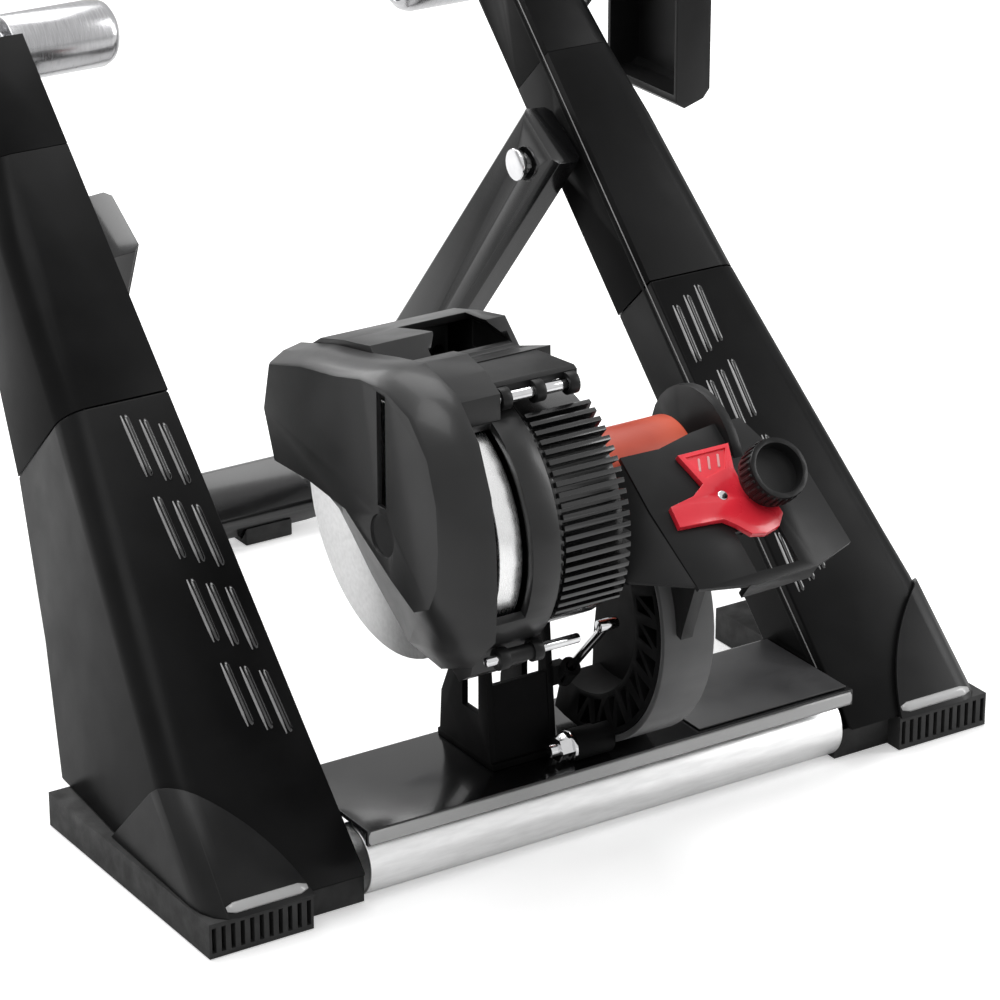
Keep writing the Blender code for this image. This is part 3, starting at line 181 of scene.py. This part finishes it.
def make_materials():
    across = (14, 1, 1)
    even = (1, 1, 1)
    return {
        "cover": moulded("leg_cover_plastic", (0.0042, 0.0042, 0.0043), (0.0070, 0.0070, 0.0072),
                         (0.30, 0.40), 0.20, specular=0.07),
        "shell": moulded("housing_plastic", (0.0070, 0.0070, 0.0072), (0.0115, 0.0115, 0.0118),
                         (0.33, 0.45), 0.25, specular=0.20),
        "unit": moulded("unit_cover_plastic", (0.0110, 0.0110, 0.0112), (0.0170, 0.0170, 0.0174),
                        (0.30, 0.40), 0.20, coat=0.1, specular=0.35),
        "fins": moulded("fin_enamel", (0.0080, 0.0080, 0.0082), (0.0120, 0.0120, 0.0123),
                        (0.20, 0.28), 0.08, coat=0.5),
        "band": moulded("band_plastic", (0.060, 0.060, 0.061), (0.090, 0.090, 0.091),
                        (0.35, 0.45), 0.2, specular=0.35),
        "rim": metal("polished_rim", (0.90, 0.90, 0.90), (0.96, 0.96, 0.96),
                     (0.24, 0.34), across, 200, 0.0),
        "matte": moulded("matte_plastic", (0.0040, 0.0040, 0.0042), (0.0070, 0.0070, 0.0072),
                         (0.5, 0.65), 0.3, 1000, specular=0.05),
        "frame": enamel("black_enamel", (0.0045, 0.0045, 0.0048), (0.0070, 0.0070, 0.0073),
                        (0.14, 0.22), 0.35),
        "rubber": rubber("foot_rubber"),
        "pale": metal("satin_steel_tube", (0.86, 0.86, 0.86), (0.94, 0.94, 0.94),
                      (0.30, 0.42), (1, 6, 6), 60),
        "steel": metal("turned_steel", (0.44, 0.44, 0.45), (0.52, 0.52, 0.53),
                       (0.20, 0.28), across, 90, 0.0),
        # light grey: painted highlight, for the crossbar's front lip and the tops of the front feet
        "satin": enamel("painted_highlight_lip_grey", (0.36, 0.36, 0.36), (0.44, 0.44, 0.44), (0.3, 0.4)),
        "chrome": metal("polished_chrome", (0.70, 0.70, 0.71), (0.80, 0.80, 0.81),
                        (0.05, 0.12), even, 90, 0.03),
        "roller": moulded("roller_sleeve", (0.42, 0.050, 0.022), (0.60, 0.090, 0.040),
                          (0.35, 0.5), 0.4, 800),
        "aluminium": metal("machined_rim", (0.80, 0.80, 0.81), (0.92, 0.92, 0.93),
                           (0.16, 0.26), across, 200),
        "copper": metal("rotor_metal", (0.50, 0.22, 0.10), (0.60, 0.30, 0.16), (0.3, 0.4), across),
        "red": moulded("red_plastic", (0.68, 0.012, 0.030), (0.84, 0.030, 0.050),
                       (0.22, 0.32), 0.12, 1400, 0.35),
        "gloss": moulded("louvre_plastic", (0.006, 0.006, 0.006), (0.009, 0.009, 0.009),
                         (0.14, 0.2), 0.05, coat=0.6),
        # light grey: painted highlight, for the bars beside the louvres and the thin line on each leg
        "edge": moulded("light_edge", (0.24, 0.24, 0.24), (0.34, 0.34, 0.34), (0.3, 0.4), 0.05),
        # very dark: painted shade in the groove along each leg's inner face
        "black": moulded("painted_shade_channel", (0.002, 0.002, 0.002), (0.004, 0.004, 0.004),
                         (0.5, 0.7), 0.1, specular=0.1),
        "mark": moulded("lever_mark", (0.55, 0.20, 0.20), (0.70, 0.32, 0.32), (0.4, 0.5), 0.05),
        "label": moulded("bare_plate", (0.016, 0.016, 0.017), (0.024, 0.024, 0.025),
                         (0.35, 0.5), 0.15),
    }


def soften(node, width):
    """Rounds the edges of a solid for the eye; the solid's own mesh stays."""
    obj = NODES[node]
    obj.data.polygons.foreach_set("use_smooth", [True] * len(obj.data.polygons))
    weld = obj.modifiers.new("weld", "WELD")
    weld.merge_threshold = 0.00001
    flat = obj.modifiers.new("flat", "DECIMATE")
    flat.decimate_type = "DISSOLVE"
    flat.angle_limit = radians(0.6)
    bevel = obj.modifiers.new("round", "BEVEL")
    bevel.width = width
    bevel.segments = 2
    bevel.limit_method = "ANGLE"
    bevel.angle_limit = radians(30)
    bevel.harden_normals = True


SOFT = {
    "lower_cover": 0.0022, "upper_cover": 0.0022, "head_cover": 0.0022, "foot_cap": 0.0012,
    "foot_pad": 0.0006, "clamp_barrel": 0.0015, "clamp_head": 0.0008, "clamp_cup": 0.0006,
    "rear_foot": 0.0010, "leg_tube": 0.0008, "frame_bolt": 0.0008,
    "front_crossbar": 0.0010, "floor_tube": 0.0008, "label_plate": 0.0004, "rear_frame": 0.0022,
    "pivot_yoke": 0.0008, "unit_left_cover": 0.0014, "flywheel_guard": 0.0010,
    "brake_housing": 0.0005, "cable_hood": 0.0012, "cable_sockets": 0.0004,
    "guide_ring": 0.0006, "guide_band": 0.0005, "roller_bracket": 0.0010,
    "tension_knob": 0.0006, "release_lever": 0.0008, "quick_lever": 0.0012,
    "left_adjuster": 0.0010,
}


LOOK_OF = {"guide_ring": "matte", "guide_band": "band", "pivot_yoke": "matte", "unit_left_cover": "unit",
           "flywheel_guard": "unit", "cable_hood": "unit", "flywheel": "rim", "brake_housing": "fins"}


def dress_solids(looks):
    slots = {part["node"]: part["material_slot"] for part in frame["record"]["subparts"]}
    for node, obj in NODES.items():
        obj.data.materials.clear()
        obj.data.materials.append(looks[LOOK_OF.get(node, slots[node])])
        plain = node.removeprefix("left_").removeprefix("right_")
        soften(node, SOFT.get(node, SOFT.get(plain, 0.0005)))


def lean(x, s, t):
    """A point on a leg: s up its slope, t behind its front plane."""
    return Vector((x, FRONT - LEG_START + s * cos(LEAN) + t * sin(LEAN), s * sin(LEAN) - t * cos(LEAN)))


LEG_OUT = Vector((0.0, -sin(LEAN), cos(LEAN)))


def on_plate(x, u, n):
    """A point on the bracket plate: u up its slope, n above its face."""
    return PLATE + Vector((x, 0.8 * u - 0.6 * n, 0.6 * u + 0.8 * n))


PLATE_OUT = Vector((0.0, -0.6, 0.8))


def bead(bm, path, width, height, out, steps=6):
    """A half-round bar along a path on a face; its ends taper to the face."""
    count = len(path)
    rings = []
    for i, point in enumerate(path):
        along = (path[min(i + 1, count - 1)] - path[max(i - 1, 0)]).normalized()
        side = along.cross(out).normalized()
        size = 0.45 if i in (0, count - 1) else 1.0
        ring = []
        for k in range(steps + 1):
            a = pi * k / steps
            ring.append(bm.verts.new(point + side * (width / 2 * size * cos(a))
                                     + out * (height * size * sin(a))))
        rings.append(ring)
    for low, high in zip(rings, rings[1:]):
        for k in range(steps):
            bm.faces.new((low[k], low[k + 1], high[k + 1], high[k]))
        bm.faces.new((low[steps], low[0], high[0], high[steps]))
    bm.faces.new(rings[0][::-1])
    bm.faces.new(rings[-1])


def straight(start, end, ease=0.06, steps=8):
    """Points from start to end, closer together near the ends."""
    marks = [0.0, ease] + [ease + (1 - 2 * ease) * i / steps for i in range(1, steps)] + [1 - ease, 1.0]
    return [start.lerp(end, m) for m in marks]


def piece(name, bm, look, body):
    bmesh.ops.recalc_face_normals(bm, faces=bm.faces)
    mesh = bpy.data.meshes.new(name)
    bm.to_mesh(mesh)
    bm.free()
    mesh.polygons.foreach_set("use_smooth", [True] * len(mesh.polygons))
    mesh.materials.append(look)
    obj = bpy.data.objects.new(name, mesh)
    bpy.context.scene.collection.objects.link(obj)
    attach(obj, body)


def leg_louvres(word, side, looks):
    """Slanted groups of raised bars, each with a thin light-grey bar beside it, a painted highlight
    along the louvre's side.
    """
    bars, edges = bmesh.new(), bmesh.new()
    for group in range(LOUVRE_GROUPS):
        start = LOUVRE_START + LOUVRE_PITCH * group
        for i in range(LOUVRE_BARS):
            x = side * (LOUVRE_X + LOUVRE_STEP * i)
            s = start + 0.0050 * i
            low, high = lean(x, s, 0.0), lean(x + side * 0.0012, s + LOUVRE_LONG, 0.0)
            bead(bars, straight(low, high), 0.0036, 0.0010, LEG_OUT)
            # the light-grey bar beside each louvre is a painted highlight
            shift = Vector((-0.0030, 0.0, 0.0))
            bead(edges, straight(low + shift, high + shift, 0.2), 0.0019, 0.0006, LEG_OUT)
    piece(word + "_leg_louvres", bars, looks["gloss"], "stand")
    piece(word + "_leg_louvre_edges", edges, looks["edge"], "stand")


def leg_lines(word, side, looks):
    """The channel and the thin line that run down the inner face of a leg. The channel's very dark
    colour is painted shade in the groove; the thin light line is a painted highlight.
    """
    inward = Vector((-side, 0.0, 0.0))
    channel, line = bmesh.new(), bmesh.new()
    low, high = CHANNEL_ENDS
    # channel: painted shade in the groove; line: painted highlight
    for bm, t, width, height in ((channel, 0.0105, 0.0032, 0.0003), (line, 0.0062, 0.0009, 0.0005)):
        x = side * CHANNEL_X
        bead(bm, straight(lean(x, low, t), lean(x, high, t), 0.01), width, height, inward)
    piece(word + "_leg_channel", channel, looks["black"], "stand")
    piece(word + "_leg_painted_highlight_line", line, looks["edge"], "stand")


def knob_grip(looks):
    """Grip ridges round the pressure knob."""
    across = Vector((1.0, 0.0, 0.0))
    other = KNOB_AXIS.cross(across)
    ridges = bmesh.new()
    for i in range(KNOB_RIDGES):
        a = 2 * pi * i / KNOB_RIDGES
        out = across * cos(a) + other * sin(a)
        low, high = (KNOB_FOOT + KNOB_AXIS * h + out * KNOB_R for h in (0.0125, 0.0250))
        bead(ridges, straight(low, high, 0.1, 4), 0.0022, 0.0009, out)
    piece("knob_ridges", ridges, looks["shell"], "pressure")


def foot_band(word, side, looks):
    """A light-grey band over the ribs of a front foot, a painted highlight on the foot's top bevel."""
    bm = bmesh.new()
    ends = [lean(side * x, 0.0345, -0.0028) for x in (0.2085, 0.2600)]
    # light-grey bead: painted highlight on the foot's top
    bead(bm, straight(*ends, 0.1), 0.0065, 0.0006, LEG_OUT, steps=4)
    piece(word + "_foot_painted_highlight", bm, looks["satin"], "stand")


def bar_strip(looks):
    """A light-grey strip along the front lip of the crossbar, a painted highlight where the lip catches
    light.
    """
    bm = bmesh.new()
    y, z = BAR_FRONT
    # light-grey bead: painted highlight on the crossbar's lip
    bead(bm, straight(Vector((-BAR_END, y, z)), Vector((BAR_END, y, z)), 0.004), 0.0085, 0.0005,
         Vector((0.0, -1.0, 0.0)), steps=4)
    piece("crossbar_painted_highlight", bm, looks["satin"], "stand")


def lever_marks(looks):
    """Plain slanted marks in the red lever's window."""
    bm = bmesh.new()
    for x0, x1 in ((0.0350, 0.0385), (0.0415, 0.0450), (0.0480, 0.0515)):
        bead(bm, straight(on_plate(x0, 0.0740, 0.0032), on_plate(x1, 0.0825, 0.0032)), 0.0016, 0.0004,
             PLATE_OUT)
    piece("lever_marks", bm, looks["mark"], "release")


def aim(obj, target):
    obj.rotation_euler = (Vector(target) - obj.location).to_track_quat("-Z", "Y").to_euler()


def softbox(name, at, target, size, watts):
    data = bpy.data.lights.new(name, "AREA")
    data.shape = "RECTANGLE"
    data.size, data.size_y = size
    data.energy = watts
    light = bpy.data.objects.new(name, data)
    bpy.context.scene.collection.objects.link(light)
    light.location = at
    aim(light, target)


def make_world():
    world = bpy.data.worlds.new("studio")
    world.use_nodes = True
    tree = world.node_tree
    tree.nodes.clear()
    path = tree.nodes.new("ShaderNodeLightPath")
    either = tree.nodes.new("ShaderNodeMath")
    either.operation = "MAXIMUM"
    tree.links.new(path.outputs["Is Camera Ray"], either.inputs[0])
    tree.links.new(path.outputs["Is Transmission Ray"], either.inputs[1])
    lift = tree.nodes.new("ShaderNodeMath")
    lift.operation = "MULTIPLY_ADD"
    tree.links.new(path.outputs["Is Glossy Ray"], lift.inputs[0])
    lift.inputs[1].default_value = 0.50
    lift.inputs[2].default_value = 0.30
    room = tree.nodes.new("ShaderNodeBackground")
    room.inputs["Color"].default_value = (1, 1, 1, 1)
    tree.links.new(lift.outputs[0], room.inputs["Strength"])
    white = tree.nodes.new("ShaderNodeBackground")
    white.inputs["Color"].default_value = (1, 1, 1, 1)
    white.inputs["Strength"].default_value = 1.0
    mix = tree.nodes.new("ShaderNodeMixShader")
    out = tree.nodes.new("ShaderNodeOutputWorld")
    tree.links.new(either.outputs[0], mix.inputs[0])
    tree.links.new(room.outputs[0], mix.inputs[1])
    tree.links.new(white.outputs[0], mix.inputs[2])
    tree.links.new(mix.outputs[0], out.inputs[0])
    bpy.context.scene.world = world


def floor_material():
    """A pale floor that a camera sees nearly white and that keeps shadows."""
    material = bpy.data.materials.new("studio_floor")
    material.use_nodes = True
    tree = material.node_tree
    shader = tree.nodes["Principled BSDF"]
    shader.inputs["Base Color"].default_value = (0.92, 0.92, 0.92, 1)
    shader.inputs["Roughness"].default_value = 0.75
    path = tree.nodes.new("ShaderNodeLightPath")
    glow = tree.nodes.new("ShaderNodeEmission")
    glow.inputs["Color"].default_value = (1, 1, 1, 1)
    glow.inputs["Strength"].default_value = 0.38
    add = tree.nodes.new("ShaderNodeAddShader")
    mix = tree.nodes.new("ShaderNodeMixShader")
    out = tree.nodes["Material Output"]
    tree.links.new(shader.outputs[0], add.inputs[0])
    tree.links.new(glow.outputs[0], add.inputs[1])
    tree.links.new(path.outputs["Is Camera Ray"], mix.inputs[0])
    tree.links.new(shader.outputs[0], mix.inputs[1])
    tree.links.new(add.outputs[0], mix.inputs[2])
    tree.links.new(mix.outputs[0], out.inputs["Surface"])
    return material


def make_stage():
    bm = bmesh.new()
    bmesh.ops.create_grid(bm, x_segments=2, y_segments=2, size=6.0)
    mesh = bpy.data.meshes.new("floor")
    bm.to_mesh(mesh)
    bm.free()
    floor = bpy.data.objects.new("floor", mesh)
    floor.location = (0, 0, -0.0006)
    mesh.materials.append(floor_material())
    bpy.context.scene.collection.objects.link(floor)

    data = bpy.data.cameras.new("photo_camera")
    data.lens, data.sensor_width = LENS, 36
    camera = bpy.data.objects.new("photo_camera", data)
    camera.location = CAMERA_AT
    camera.rotation_euler = [radians(a) for a in CAMERA_TURN]
    data.clip_end = 60
    bpy.context.scene.collection.objects.link(camera)
    bpy.context.scene.camera = camera

    make_world()
    middle = (0, 0, 0.2)
    softbox("key", (-0.9, -0.6, 2.6), middle, (1.6, 1.2), 24)
    softbox("top", (0.3, 0.9, 2.6), middle, (2.0, 2.0), 44)
    softbox("right_edge", (2.2, -0.9, 1.2), middle, (0.7, 1.8), 24)
    softbox("back_edge", (-0.6, 2.4, 1.5), middle, (2.0, 0.8), 26)
    bpy.context.scene.view_settings.view_transform = "Standard"


def main():
    looks = make_materials()
    dress_solids(looks)
    for word, side in (("left", -1), ("right", 1)):
        leg_louvres(word, side, looks)
        leg_lines(word, side, looks)
        foot_band(word, side, looks)
    knob_grip(looks)
    lever_marks(looks)
    bar_strip(looks)
    make_stage()


main()
